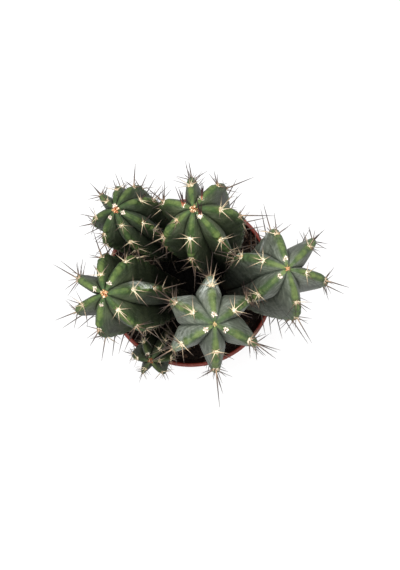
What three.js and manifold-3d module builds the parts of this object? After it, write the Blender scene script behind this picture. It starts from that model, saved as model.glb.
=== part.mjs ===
// A tall column cactus: six ribbed stems standing in soil, in a round plastic pot.
// Millimetres, +Z up. The origin is the centre of the pot's underside.

import * as THREE from 'three';
import { mergeVertices } from 'three/addons/utils/BufferGeometryUtils.js';
import Module from 'manifold-3d';

const wasm = await Module();
wasm.setup();

// ---- Driving dimensions ----

const CLEARANCE = 0.3; // between any two pieces that touch

// The pot: thin, tapered, with a collar and a rolled rim.
const POT_SIDES = 48;
const POT_HEIGHT = 125;
const RIM_RADIUS = 70;
const RIM_ROLL = 1.6; // radius of the rolled bead, half of its visible width
const COLLAR_RADIUS = 68.4;
const COLLAR_HEIGHT = 17;
const COLLAR_STEP = 1.5; // height of the slope under the collar
const BODY_TOP_RADIUS = 66.2;
const FOOT_RADIUS = 50;
const FOOT_WIDTH = 9;
const WALL = 1.4;
const FLOOR = 2.6;
const FOOT_RECESS = 2; // how far the ring with the drain holes is raised
const HUB_RADIUS = 15; // flat middle of the underside
const DRAIN_HOLES = 6;
const DRAIN_RADIUS = 4;
const DRAIN_CIRCLE = 28;

// The soil.
const SOIL_LEVEL = 111;
const SOIL_RINGS = 3;
const SOIL_RELIEF = 1.1;
const ROOT_DEPTH = 26; // how far a stem goes down into the soil
const ROOT_ROWS = [0, 0.5, 0.85]; // rows of corners on a rooted end, in root depths
const HOLE_TOP = -0.3; // ends of a stem's hole, likewise
const HOLE_BOTTOM = 1.05;
const HOLE_SIDES = 12;

// The stems. Lengths along a stem are measured down from its tip.
const DOME = 1.36; // length of the rounded top, in crest radii
const BASE_TAPER = 0.5; // how much narrower a stem is at the soil than below its dome
const TAPER_CURVE = 1.6; // above 1, the taper is slow at first
const CREST_HALF_WIDTH = 0.078; // half of a rib's blunt edge, in crest radii below the dome
const SHOULDER_DROP = 0.036; // how far the corners of that edge lie under its middle, likewise
const OLD_RIB = 0.75; // how deep the valleys still are at the soil
const DOME_ROWS = 6;
const ROW_STEP = 20;

// The spines, three-sided needles on every areole.
const SPINE_RADIUS = 0.75;
const SPINE_ROOT = 1.8; // length of a needle that is sunk in its rib
const SIDE_SPINE = 0.5; // length of a side spine, in long spines
const SIDE_SPINES_UPTO = 2.3; // in areole pitches from the tip
const LOWEST_AREOLE = 6; // above the soil
const OLD_PITCHES = 5; // from here down every second areole keeps its spine
const SPINE_CLEAR = 1.2; // free space between a spine and any other stem
const SPINE_CUTS = [1, 0.7, 0.45]; // how far a spine may be shortened to fit

// bearing: where each rib points, in degrees from +X. first: how far its first areole is from the
// tip, in areole pitches. reach: how far it stands out below the dome, where a neighbour presses it.
// valley: how deep the valley after each rib is, in crest radii.
const STEMS = [
  {
    name: 'stem_front', color: 0x76836d, apex: [17, -25.4, 350], base: [14, -31.2], bend: [0.6, -0.6],
    radius: 31.4, pitch: 25, spine: 21,
    bearing: [35, 94, 151, 212, 273, 335],
    first: [0.6, 0.2, 0.6, 0.2, 0.7, 0.25],
    reach: [0.9, 1, 1, 1, 1, 1],
    valley: [0.36, 0.3, 0.3, 0.5, 0.54, 0.4],
  },
  {
    name: 'stem_right', color: 0x6e7b68, apex: [62, 8.4, 340], base: [39, -5], bend: [9, -1.6],
    radius: 31.5, pitch: 28, spine: 20,
    bearing: [45, 101, 159, 222, 289, 349],
    first: [0.95, 0.2, 0.6, 0.2, 0.9, 0.45],
    reach: [1, 0.93, 1, 0.76, 1, 1],
    valley: [0.5, 0.4, 0.4, 0.45, 0.52, 0.56],
  },
  {
    name: 'stem_back_middle', color: 0x5f6f4f, apex: [4, 46.6, 322], base: [22, 20.4], bend: [3, -3],
    radius: 29.1, pitch: 27, spine: 17,
    bearing: [3, 55, 100, 157, 210, 260, 313],
    first: [0.7, 0.3, 0.8, 0.25, 0.5, 0.75, 0.2],
    reach: [1, 1, 1, 1, 1, 1, 1],
    valley: [0.45, 0.48, 0.5, 0.42, 0.42, 0.45, 0.42],
  },
  {
    name: 'stem_left', color: 0x55663f, apex: [-53.4, -7.2, 312], base: [-15, -11], bend: [-6.5, -3.6],
    radius: 29.8, pitch: 27, spine: 20,
    bearing: [10, 66, 106, 154, 203, 252, 308],
    first: [0.75, 0.25, 0.5, 0.25, 0.75, 0.25, 0.5],
    reach: [1, 1, 1, 1, 1, 1, 1],
    valley: [0.42, 0.4, 0.48, 0.6, 0.45, 0.42, 0.42],
  },
  {
    name: 'stem_back_left', color: 0x4f6040, apex: [-47, 47.7, 304], base: [-14.4, 29], bend: [1.5, -2.7],
    radius: 23.4, pitch: 17.4, spine: 14,
    bearing: [28, 66, 98, 138, 191, 232, 288, 335],
    first: [1.1, 1.6, 0.1, 0.5, 1.1, 0.3, 0.6, 0.25],
    reach: [1, 1, 0.85, 1, 1, 1, 1, 1],
    valley: [0.36, 0.3, 0.45, 0.46, 0.4, 0.42, 0.4, 0.42],
  },
  {
    name: 'stem_small', color: 0x56633f, apex: [-28.2, -57.2, 222], base: [-21.7, -42.3], bend: [0.3, 0.9],
    radius: 16.7, pitch: 14.2, spine: 9,
    bearing: [52, 117, 179, 238, 303, 356],
    first: [0.8, 0.3, 0.9, 0.6, 1.25, 0.45],
    reach: [1, 1, 1, 1, 1, 1],
    valley: [0.5, 0.46, 0.46, 0.55, 0.46, 0.46],
  },
];

// ---- Solids ----

// A closed three.js geometry as a solid that can be joined and cut.
function solidOf(geometry) {
  geometry.deleteAttribute('normal');
  geometry.deleteAttribute('uv');
  const merged = mergeVertices(geometry, 1e-4);
  return new wasm.Manifold(new wasm.Mesh({
    numProp: 3,
    vertProperties: merged.getAttribute('position').array,
    triVerts: new Uint32Array(merged.index.array),
  }));
}

function geometryOf(solid) {
  const mesh = solid.getMesh();
  const geometry = new THREE.BufferGeometry();
  geometry.setAttribute('position', new THREE.BufferAttribute(mesh.vertProperties, 3));
  geometry.setIndex(new THREE.BufferAttribute(mesh.triVerts, 1));
  geometry.computeVertexNormals();
  return geometry;
}

function meshOf(name, geometry, color, roughness) {
  const material = new THREE.MeshStandardMaterial({ color, roughness, metalness: 0 });
  const mesh = new THREE.Mesh(geometry, material);
  mesh.name = name;
  return mesh;
}

// A sphere whose rows and columns are moved to pointAt(row, column): row 0 and the last row are
// its two ends, and the columns run counterclockwise as seen from row 0.
function loft(columns, rows, pointAt) {
  const geometry = new THREE.SphereGeometry(1, columns, rows);
  const position = geometry.getAttribute('position');
  for (let row = 0; row <= rows; row += 1) {
    for (let column = 0; column <= columns; column += 1) {
      const point = pointAt(row, column % columns);
      position.setXYZ(row * (columns + 1) + column, point.x, point.y, point.z);
    }
  }
  return geometry;
}

// ---- Pot and soil ----

const BODY_TOP = POT_HEIGHT - COLLAR_HEIGHT;
const FLOOR_TOP = FOOT_RECESS + FLOOR;

// The inside of the pot's sloping wall.
function innerRadius(height) {
  return FOOT_RADIUS - WALL + ((BODY_TOP_RADIUS - FOOT_RADIUS) * height) / BODY_TOP;
}

// The pot is turned about its axis, from the middle of its underside over the rim to its floor.
function makePot() {
  const beadHeight = POT_HEIGHT - RIM_ROLL;
  const footInside = FOOT_RADIUS - FOOT_WIDTH;
  const profile = [
    [0, 0],
    [HUB_RADIUS, 0],
    [HUB_RADIUS + FOOT_RECESS, FOOT_RECESS],
    [footInside - FOOT_RECESS, FOOT_RECESS],
    [footInside, 0],
    [FOOT_RADIUS, 0],
    [BODY_TOP_RADIUS, BODY_TOP],
    [COLLAR_RADIUS - 0.4, BODY_TOP + COLLAR_STEP],
    [COLLAR_RADIUS, beadHeight - RIM_ROLL],
    [RIM_RADIUS, beadHeight],
    [RIM_RADIUS - 0.3 * RIM_ROLL, beadHeight + 0.7 * RIM_ROLL],
    [RIM_RADIUS - RIM_ROLL, POT_HEIGHT],
    [RIM_RADIUS - 1.7 * RIM_ROLL, beadHeight + 0.7 * RIM_ROLL],
    [RIM_RADIUS - 2 * RIM_ROLL, beadHeight],
    [innerRadius(BODY_TOP), BODY_TOP],
    [innerRadius(FLOOR_TOP), FLOOR_TOP],
    [0, FLOOR_TOP],
  ];
  const points = profile.map(([radius, height]) => new THREE.Vector2(radius, height));
  const shell = solidOf(new THREE.LatheGeometry(points, POT_SIDES).rotateX(Math.PI / 2));
  const drains = Array.from({ length: DRAIN_HOLES }, (_, index) => {
    const angle = ((index + 0.5) * 2 * Math.PI) / DRAIN_HOLES;
    const hole = new THREE.CylinderGeometry(DRAIN_RADIUS, DRAIN_RADIUS, 3 * FLOOR_TOP, HOLE_SIDES);
    hole.rotateX(Math.PI / 2);
    hole.translate(DRAIN_CIRCLE * Math.cos(angle), DRAIN_CIRCLE * Math.sin(angle), 0);
    return solidOf(hole);
  });
  return shell.subtract(wasm.Manifold.union(drains));
}

// Low lumps in the soil's surface.
function soilHeight(x, y) {
  const lumps = Math.sin(x / 7 + 1) * Math.cos(y / 8) + Math.sin((x + 2 * y) / 11) * Math.cos(x / 5);
  return SOIL_LEVEL + SOIL_RELIEF * lumps;
}

// Rings of corners from the middle of the surface out to the wall, then down to the floor.
function makeSoil(holes) {
  const bottom = FLOOR_TOP + CLEARANCE;
  const rows = SOIL_RINGS + 2;
  const geometry = loft(POT_SIDES, rows, (row, column) => {
    const angle = (column * 2 * Math.PI) / POT_SIDES;
    const onTop = row <= SOIL_RINGS;
    const height = onTop ? SOIL_LEVEL : bottom;
    const widest = innerRadius(height) - CLEARANCE;
    const radius = onTop ? (widest * row) / SOIL_RINGS : widest * (rows - row);
    const point = new THREE.Vector3(radius * Math.cos(angle), radius * Math.sin(angle), height);
    if (row < SOIL_RINGS) point.z = soilHeight(point.x, point.y);
    return point;
  });
  return solidOf(geometry).subtract(wasm.Manifold.union(holes));
}

// ---- Stems ----

// The stem's middle line: an easy curve from the soil to the tip.
function axisOf(stem) {
  const apex = new THREE.Vector3(...stem.apex);
  const base = new THREE.Vector3(stem.base[0], stem.base[1], SOIL_LEVEL);
  const middle = apex.clone().add(base).multiplyScalar(0.5);
  middle.x += stem.bend[0];
  middle.y += stem.bend[1];
  return new THREE.QuadraticBezierCurve3(base, middle, apex);
}

function prepare(stem) {
  const axis = axisOf(stem);
  const length = axis.v0.distanceTo(axis.v2);
  return { ...stem, axis, length, dome: DOME * stem.radius };
}

// Centre and directions of the stem's cross-section, a length down from the tip.
function frameAt(stem, down) {
  const t = Math.max(0, 1 - down / stem.length);
  const centre = stem.axis.getPoint(t);
  const up = stem.axis.getTangent(t);
  const across = new THREE.Vector3(1, 0, 0);
  across.addScaledVector(up, -up.x).normalize();
  const along = new THREE.Vector3().crossVectors(up, across);
  if (down > stem.length) centre.z -= down - stem.length;
  return { centre, up, across, along };
}

// How far below the dome a place is: 0 there and above, 1 at the soil and under it.
function shareBelowDome(stem, down) {
  return THREE.MathUtils.clamp((down - stem.dome) / (stem.length - stem.dome), 0, 1);
}

// Radius of the ribs' crests: a rounded dome, then a slow taper to the soil and a rooted end.
function crestRadius(stem, down) {
  const x = Math.min(down / stem.dome, 1);
  const domed = stem.radius * Math.sqrt(Math.max(0, 1 - (1 - x) ** 2));
  const rooted = THREE.MathUtils.clamp((down - stem.length) / ROOT_DEPTH, 0, 1);
  const taper = 1 - BASE_TAPER * shareBelowDome(stem, down) ** TAPER_CURVE;
  return domed * taper * Math.sqrt(1 - rooted ** 2);
}

function ribRadius(stem, rib, down) {
  const pressed = 1 - (1 - stem.reach[rib]) * Math.min(down / stem.dome, 1);
  return crestRadius(stem, down) * pressed;
}

// The star section's corners in order: two shoulders and the crest of each rib, then a valley.
function sectionAt(stem, down) {
  const ribs = stem.bearing.length;
  return stem.bearing.flatMap((bearing, rib) => {
    const next = (rib + 1) % ribs;
    const gap = THREE.MathUtils.euclideanModulo(stem.bearing[next] - bearing, 360);
    const crest = ribRadius(stem, rib, down);
    const halfWidth = Math.min(CREST_HALF_WIDTH * stem.radius, 0.3 * crest);
    const shoulder = crest - Math.min(SHOULDER_DROP * stem.radius, 0.1 * crest);
    const spread = shoulder > 0 ? THREE.MathUtils.radToDeg(Math.atan(halfWidth / shoulder)) : 1;
    const depth = stem.valley[rib] * THREE.MathUtils.lerp(1, OLD_RIB, shareBelowDome(stem, down));
    const valley = 0.5 * (crest + ribRadius(stem, next, down)) * (1 - depth);
    return [
      { bearing: bearing - spread, radius: shoulder },
      { bearing, radius: crest },
      { bearing: bearing + spread, radius: shoulder },
      { bearing: bearing + gap / 2, radius: valley },
    ];
  });
}

function pointAt(frame, bearing, radius) {
  const angle = THREE.MathUtils.degToRad(bearing);
  return frame.centre.clone()
    .addScaledVector(frame.across, radius * Math.cos(angle))
    .addScaledVector(frame.along, radius * Math.sin(angle));
}

// The places of the rows of corners: close together on the dome, then evenly down to the soil.
function rowsOf(stem) {
  const column = stem.length - stem.dome;
  const columnRows = Math.round(column / ROW_STEP);
  const dome = Array.from({ length: DOME_ROWS }, (_, row) => (
    stem.dome * (1 - Math.cos((row * Math.PI) / (2 * DOME_ROWS)))
  ));
  const shaft = Array.from({ length: columnRows + 1 }, (_, row) => (
    stem.dome + (column * row) / columnRows
  ));
  const root = [...ROOT_ROWS.slice(1), 1].map((share) => stem.length + share * ROOT_DEPTH);
  return [...dome, ...shaft, ...root];
}

function makeStemBody(stem) {
  const rows = rowsOf(stem);
  const frames = rows.map((down) => frameAt(stem, down));
  const sections = rows.map((down) => sectionAt(stem, down));
  return solidOf(loft(sections[0].length, rows.length - 1, (row, column) => {
    if (row === 0) return frames[0].centre.clone();
    if (row === rows.length - 1) return frames[row].centre.clone();
    const corner = sections[row][column];
    return pointAt(frames[row], corner.bearing, corner.radius);
  }));
}

// The plain round hole that a stem stands in.
function makeHole(stem) {
  const widen = 1 / Math.cos(Math.PI / HOLE_SIDES);
  const depths = [HOLE_TOP, HOLE_TOP, ...ROOT_ROWS, HOLE_BOTTOM];
  return solidOf(loft(HOLE_SIDES, depths.length - 1, (row, column) => {
    const down = stem.length + depths[row] * ROOT_DEPTH;
    const isEnd = row === 0 || row === depths.length - 1;
    const radius = isEnd ? 0 : (crestRadius(stem, down) + CLEARANCE) * widen;
    return pointAt(frameAt(stem, down), (column * 360) / HOLE_SIDES, radius);
  }));
}

// ---- Spines ----

// A number from 0 to 1 that is always the same for the same place on the plant.
function chance(...place) {
  const seed = place.reduce((sum, value, index) => sum + value * (12.9898 + 65.234 * index), 4.1);
  const value = Math.sin(seed) * 43758.5453;
  return value - Math.floor(value);
}

// The direction straight out of a rib's crest, and the one along its side.
function crestDirections(stem, rib, down) {
  const frame = frameAt(stem, down);
  const out = pointAt(frame, stem.bearing[rib], 1).sub(frame.centre);
  const slope = crestRadius(stem, down + 0.5) - crestRadius(stem, Math.max(0, down - 0.5));
  const normal = out.clone().addScaledVector(frame.up, slope).normalize();
  const side = new THREE.Vector3().crossVectors(frame.up, out).normalize();
  const along = new THREE.Vector3().crossVectors(normal, side).normalize();
  const root = pointAt(frame, stem.bearing[rib], ribRadius(stem, rib, down));
  return { root, normal, side, along };
}

// Every spine that a stem would have if it stood alone: one long spine on each areole, and one
// short spine beside it, on the left and the right in turn.
function spinesOf(stem, stemIndex) {
  const spines = [];
  stem.bearing.forEach((_, rib) => {
    for (let count = 0; ; count += 1) {
      const pitches = stem.first[rib] + count;
      const down = (stem.pitch * pitches * pitches) / (pitches + 1);
      if (down > stem.length - LOWEST_AREOLE) break;
      if (pitches > OLD_PITCHES && count % 2 === 1) continue;
      const { root, normal, side, along } = crestDirections(stem, rib, down);
      const grown = THREE.MathUtils.clamp(0.25 + 0.5 * pitches, 0.3, 1);
      const lengthOf = (part) => stem.spine * grown * (0.8 + 0.25 * chance(stemIndex, rib, count, part));
      const lean = (part, angle) => angle * (2 * chance(stemIndex, rib, count, part) - 1);
      const long = normal.clone().addScaledVector(side, lean(1, 0.35)).addScaledVector(along, lean(2, 0.4));
      spines.push({ root, direction: long.normalize(), length: lengthOf(3) });
      if (pitches > SIDE_SPINES_UPTO) continue;
      const turn = (rib + count) % 2 === 0 ? 1 : -1;
      const short = normal.clone().multiplyScalar(0.5).addScaledVector(side, turn)
        .addScaledVector(along, lean(4, 0.8));
      spines.push({ root, direction: short.normalize(), length: SIDE_SPINE * lengthOf(5) });
    }
  });
  return spines;
}

// Whether a point lies in a stem, or closer to it than the given space.
function nearStem(stem, point, space) {
  const share = (point.z - SOIL_LEVEL) / (stem.apex[2] - SOIL_LEVEL);
  const down = stem.length * (1 - share);
  if (down < -space) return false;
  const frame = frameAt(stem, Math.max(0, down));
  const offset = point.clone().sub(frame.centre);
  const distance = Math.hypot(offset.dot(frame.across), offset.dot(frame.along));
  if (distance > stem.radius + space) return false;
  const bearing = THREE.MathUtils.radToDeg(Math.atan2(offset.dot(frame.along), offset.dot(frame.across)));
  const corners = sectionAt(stem, Math.max(0.5, down));
  return corners.some((corner, index) => {
    const next = corners[(index + 1) % corners.length];
    const width = THREE.MathUtils.euclideanModulo(next.bearing - corner.bearing, 360);
    const turn = THREE.MathUtils.euclideanModulo(bearing - corner.bearing, 360);
    if (turn > width) return false;
    return distance < THREE.MathUtils.lerp(corner.radius, next.radius, turn / width) + space;
  });
}

// Whether a spine stays clear of the other stems, the soil and the pot.
function isFree(spine, stem, stems) {
  const steps = 8;
  for (let step = 1; step <= steps; step += 1) {
    const point = spine.root.clone().addScaledVector(spine.direction, (spine.length * step) / steps);
    const inPot = point.z < POT_HEIGHT + SPINE_CLEAR;
    if (inPot && Math.hypot(point.x, point.y) > innerRadius(SOIL_LEVEL) - SPINE_CLEAR) return false;
    if (point.z < SOIL_LEVEL + 2 * SOIL_RELIEF + SPINE_CLEAR) return false;
    if (stems.some((other) => other !== stem && nearStem(other, point, SPINE_CLEAR))) return false;
  }
  return true;
}

// The smallest distance between two spines.
function spineGap(a, b) {
  const tipA = a.root.clone().addScaledVector(a.direction, a.length);
  const tipB = b.root.clone().addScaledVector(b.direction, b.length);
  const steps = 6;
  let gap = Infinity;
  const lineA = new THREE.Line3(a.root, tipA);
  const lineB = new THREE.Line3(b.root, tipB);
  const onA = new THREE.Vector3();
  const onB = new THREE.Vector3();
  for (let step = 0; step <= steps; step += 1) {
    lineA.at(step / steps, onA);
    lineB.closestPointToPoint(onA, true, onB);
    lineA.closestPointToPoint(onB, true, onA);
    gap = Math.min(gap, onA.distanceTo(onB));
  }
  return gap;
}

// Spines that would run into a neighbour are shortened, or left out where there is no room.
function growSpines(stems) {
  const grown = [];
  stems.forEach((stem, stemIndex) => {
    spinesOf(stem, stemIndex).forEach((spine) => {
      const others = grown.filter((other) => other.stem !== stem);
      const fits = SPINE_CUTS.map((share) => ({ ...spine, stem, length: share * spine.length }))
        .find((shorter) => (
          isFree(shorter, stem, stems)
          && others.every((other) => spineGap(shorter, other) > 2 * SPINE_RADIUS)
        ));
      if (fits) grown.push(fits);
    });
  });
  return grown;
}

function makeSpine(spine) {
  const height = spine.length + SPINE_ROOT;
  const needle = new THREE.ConeGeometry(SPINE_RADIUS, height, 3);
  needle.translate(0, height / 2 - SPINE_ROOT, 0);
  const turn = new THREE.Quaternion().setFromUnitVectors(new THREE.Vector3(0, 1, 0), spine.direction);
  needle.applyQuaternion(turn);
  needle.translate(spine.root.x, spine.root.y, spine.root.z);
  return solidOf(needle);
}

// ---- The plant ----

const stems = STEMS.map(prepare);
const spines = growSpines(stems);

const cactus = new THREE.Group();
cactus.add(meshOf('pot', geometryOf(makePot()), 0x8f4b3a, 0.5));
cactus.add(meshOf('soil', geometryOf(makeSoil(stems.map(makeHole))), 0x2a231c, 1));
stems.forEach((stem) => {
  const needles = spines.filter((spine) => spine.stem === stem).map(makeSpine);
  const plant = wasm.Manifold.union([makeStemBody(stem), ...needles]);
  cactus.add(meshOf(stem.name, geometryOf(plant.simplify(0.01)), stem.color, 0.6));
});

export default cactus;
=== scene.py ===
import math

import bmesh
import bpy
import numpy as np
from mathutils import Matrix, Vector


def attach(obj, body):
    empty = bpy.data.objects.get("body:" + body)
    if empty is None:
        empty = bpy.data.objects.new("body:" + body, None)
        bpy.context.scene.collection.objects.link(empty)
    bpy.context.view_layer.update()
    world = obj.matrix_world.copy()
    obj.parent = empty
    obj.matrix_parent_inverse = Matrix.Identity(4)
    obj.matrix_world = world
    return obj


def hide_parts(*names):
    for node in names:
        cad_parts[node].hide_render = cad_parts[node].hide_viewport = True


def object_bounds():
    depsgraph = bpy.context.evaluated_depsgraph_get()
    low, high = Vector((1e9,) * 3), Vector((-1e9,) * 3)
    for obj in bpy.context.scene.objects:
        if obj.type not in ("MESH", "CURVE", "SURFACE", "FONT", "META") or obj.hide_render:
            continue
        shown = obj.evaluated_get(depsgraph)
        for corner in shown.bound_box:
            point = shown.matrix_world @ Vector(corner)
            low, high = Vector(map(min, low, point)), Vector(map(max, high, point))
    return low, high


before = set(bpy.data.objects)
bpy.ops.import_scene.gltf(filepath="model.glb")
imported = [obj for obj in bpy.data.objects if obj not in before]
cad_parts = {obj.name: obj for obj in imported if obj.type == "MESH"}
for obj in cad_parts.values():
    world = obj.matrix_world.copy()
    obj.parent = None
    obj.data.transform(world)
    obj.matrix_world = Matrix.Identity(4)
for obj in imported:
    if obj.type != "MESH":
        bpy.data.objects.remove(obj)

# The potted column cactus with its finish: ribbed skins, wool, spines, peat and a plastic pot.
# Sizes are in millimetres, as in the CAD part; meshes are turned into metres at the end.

CAD_BOX = [list(corner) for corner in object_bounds()]
MM = 0.001
BOX_MARGIN = 0.4  # no spine's tip comes closer than this to the CAD model's box
FULL_TURN = 2 * math.pi
X_AXIS, Y_AXIS, Z_AXIS = np.eye(3)

# ---- Camera, light and floor ----

CAMERA_PLACE = (8.15, -1.66, 945)  # straight above the plant, as in the photograph
FOCAL_PIXELS = 986
FRAME_PIXELS = 570  # the frame's long side
SENSOR = 36
SKY_LOW = 0.34  # light from the horizon
SKY_HIGH = 0.84  # light from overhead
SKY_SEEN = 0.955  # the backdrop itself
FLOOR_GLOW = 0.74  # the floor is a light table, as for pictures on plain white
FLOOR_SIZE = 24.0  # in metres, like the places below
FLOOR_DROP = 0.0005
TOP_LIGHT_POWER = 27
TOP_LIGHT_SIZE = 0.75
TOP_LIGHT_PLACE = (-0.1, 0.14, 1.6)
AIM = (0.0, 0.0, 0.2)

# ---- The plant, as in the CAD part ----

SOIL_LEVEL = 111
ROOT_DEPTH = 26
DOME = 1.36  # the dome's height, in radii of the stem
BASE_TAPER = 0.5  # the share of its radius that a stem loses down to the soil
TAPER_CURVE = 1.6
CREST_HALF_WIDTH = 0.078  # in radii, as is the next
SHOULDER_DROP = 0.036
THIN_CREST = 0.1  # near the tip both are about this share of the crest's radius
OLD_RIB = 0.75  # how deep a valley is by the soil, against the dome
LEAN_GROWN = 0.6  # in radii: from this width on a valley leans fully
LOWEST_AREOLE = 6  # above the soil
SPINE_CUTS = (1, 0.7, 0.45)  # shares of its length, tried until a spine is clear
SPINE_CLEAR = 0.7  # from a spine to the pot's wall or another stem
SPINE_OVER_SOIL = 2.5

# bloom: whitish patches as (rib, side, down from the tip, spread, strength).
# tuft, rust: width and colour of the wool on the tip. pad: radius of an areole's wool.
# fresh: how dark red the youngest spines are. comb: where they lean, if they are grown out.
# long: where single long spines end, as (rib, areole's count from the tip, x, y, z).
STEMS = [
    dict(
        name="stem_front", slot="grey_stem", skin="grey_skin", apex=(17, -25.4, 350),
        base=(14, -31.2), bend=(0.6, -0.6), radius=31.4, pitch=25, spine=21,
        bearing=(35, 94, 151, 212, 273, 335), first=(0.6, 0.2, 0.6, 0.2, 0.7, 0.25),
        reach=(0.9, 1, 1, 1, 1, 1), valley=(0.36, 0.3, 0.3, 0.5, 0.54, 0.4),
        lean=(0.14, 0, 0, -0.13, 0, 0.2), tuft=0.5, rust=0.1, pad=1.8,
        bloom=[
            (1, 1, 22, 8, 1.3), (1, -1, 22, 7, 1.1), (2, -1, 34, 14, 0.8), (3, -1, 22, 13, 0.45),
            (3, 1, 24, 12, 0.35),
        ],
        long=[
            (0, 0, 40, -22, 349), (0, 1, 35, 1, 335), (2, 0, -7, -12, 349), (3, 1, -14, -32, 340),
            (3, 1, 4, -45, 340), (4, 0, 29, -47, 345), (4, 1, 20, -78, 331), (4, 1, 9, -57, 326),
            (5, 1, 56, -43, 336), (5, 1, 47, -26, 340),
        ],
    ),
    dict(
        name="stem_right", slot="grey_stem", skin="grey_skin", apex=(62, 8.4, 340),
        base=(39, -5), bend=(9, -1.6), radius=31.5, pitch=28, spine=20,
        bearing=(45, 101, 159, 222, 289, 349), first=(0.95, 0.2, 0.6, 0.2, 0.9, 0.45),
        reach=(1, 0.93, 1, 0.76, 1, 1), valley=(0.5, 0.4, 0.4, 0.45, 0.52, 0.56),
        lean=(0.15, 0.1, 0, 0, -0.06, -0.08), tuft=0.8, rust=0.6, pad=1.6,
        bloom=[(2, -1, 46, 12, 1.5), (1, 1, 46, 11, 1.2)],
        long=[
            (0, 0, 82, 30, 332), (0, 0, 84, 16, 328), (0, 1, 87, 33, 309), (1, 1, 55, 44, 324),
            (3, 1, 49, -16, 327), (3, 1, 40, 2, 330), (4, 0, 77, -17, 333), (5, 1, 103, -3, 318),
            (5, 1, 89, -7, 317),
        ],
    ),
    dict(
        name="stem_back_middle", slot="green_stem", skin="green_skin", apex=(4, 46.6, 322),
        base=(22, 20.4), bend=(3, -3), radius=29.1, pitch=27, spine=19,
        bearing=(3, 55, 100, 157, 210, 260, 313), first=(0.7, 0.3, 0.8, 0.25, 0.5, 0.75, 0.2),
        valley=(0.45, 0.48, 0.5, 0.42, 0.42, 0.45, 0.42),
        tuft=1.5, rust=0.75, fresh=1.0, pad=1.8, comb=(-0.1, 1.0, 0.1),
        long=[
            (0, 0, 33, 60, 324), (0, 1, 57, 44, 300), (1, 1, 17, 72, 306), (1, 2, 44, 71, 284),
            (2, 0, -1, 78, 312), (2, 0, 10, 70, 314), (2, 1, 1, 80, 293), (3, 1, -27, 62, 305),
            (3, 1, -15, 66, 306), (4, 1, -29, 23, 302), (4, 1, -21, 39, 304),
            (4, 2, -25, 19, 277), (5, 1, 5, 1, 303), (6, 1, 35, 12, 318),
        ],
    ),
    dict(
        name="stem_left", slot="green_stem", skin="green_skin", apex=(-53.4, -7.2, 312),
        base=(-15, -11), bend=(-6.5, -3.6), radius=29.8, pitch=27, spine=20,
        bearing=(10, 66, 106, 154, 203, 252, 308), first=(0.75, 0.25, 0.5, 0.25, 0.75, 0.25, 0.5),
        valley=(0.42, 0.4, 0.48, 0.6, 0.45, 0.42, 0.42),
        tuft=1.7, rust=0.8, pad=1.6, bloom=[(0, 1, 22, 8, 1.7)],
        long=[
            (0, 0, -25, -16, 309), (0, 1, -12, -10, 294), (2, 1, -63, 34, 292),
            (3, 1, -89, 12, 292), (3, 1, -80, -9, 292), (3, 1, -69, 16, 295),
            (4, 0, -78, -11, 305), (4, 1, -92, -26, 280), (5, 1, -64, -42, 296),
            (6, 0, -35, -29, 307), (6, 1, -23, -43, 296), (6, 1, -22, -26, 297),
        ],
    ),
    dict(
        name="stem_back_left", slot="green_stem", skin="shaded_green_skin", apex=(-47, 47.7, 304),
        base=(-14.4, 29), bend=(1.5, -2.7), radius=23.4, pitch=17.4, spine=14,
        bearing=(28, 66, 98, 138, 191, 232, 288, 335),
        first=(1.1, 1.6, 0.1, 0.5, 1.1, 0.3, 0.6, 0.25), reach=(1, 1, 0.85, 1, 1, 1, 1, 1),
        valley=(0.36, 0.3, 0.45, 0.46, 0.4, 0.42, 0.4, 0.42),
        tuft=1.6, rust=1.0, fresh=0.5, pad=1.35,
        long=[
            (1, 0, -35, 79, 291), (2, 1, -49, 68, 297), (3, 1, -63, 64, 288),
            (3, 1, -53, 63, 290), (4, 1, -74, 38, 276), (7, 1, -25, 43, 302),
        ],
    ),
    dict(
        name="stem_small", slot="green_stem", skin="shaded_young_skin", apex=(-28.2, -57.2, 222),
        base=(-21.7, -42.3), bend=(0.3, 0.9), radius=16.7, pitch=14.2, spine=9,
        bearing=(52, 117, 179, 238, 303, 356), first=(0.8, 0.3, 0.9, 0.6, 1.25, 0.45),
        valley=(0.5, 0.46, 0.46, 0.55, 0.46, 0.46),
        tuft=1.15, rust=1.3, fresh=0.6, pad=1.1, comb=(0.0, -0.5, 0.4),
    ),
]

# ---- What the finish adds to the skins ----

DOME_ROWS = 64
SHAFT_STEP = 1.8
ROOT_ROWS = ROOT_DEPTH * np.array([0.08, 0.2, 0.36, 0.54, 0.72, 0.86, 0.95])
# Where a flank has its columns of points, as shares of the way from the crest to the valley.
FLANK_PLACES = (0, 0.07, 0.14, 0.22, 0.31, 0.42, 0.54, 0.66, 0.77, 0.86, 0.93, 0.975)
CREST_SHARE = 0.22  # places below this lie on the crest's blunt edge
FLANK_BULGE = 0.012  # in lengths of the flank
SWELLING = 0.012  # more of it midway between two areoles
NOTCH = 1.5  # how deep a crest dips at an areole
NOTCH_GROWN = 8  # the crest's radius from which a notch is that deep
WAVES = ((8.3, 0.3), (5.1, 0.25), (3.6, 0.14))  # uneven crests: lengths and heights
CREASE = 1.1  # how much deeper a valley's fold is
CREASE_WIDTH = 0.85
CREASE_GROWN = 12  # the crest's radius from which a crease is that deep
CREASE_BOTTOM = 1.25  # in depths of the crease
FOLD = 0.22  # height of the faint oblique folds on a flank
FOLD_SLANT = 0.55  # in pitches, across a flank
FOLD_START = 0.72  # of the way from between two folds to a fold's line
TIP_DIMPLE = 1.3  # how far the very tip is sunk
TIP_DIMPLE_WIDTH = 3.4
TIP_LUMPS = 4  # cream lumps of wool on a tip, for a tuft of size 1
TUFT_FIBRES = 46  # likewise

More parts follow.
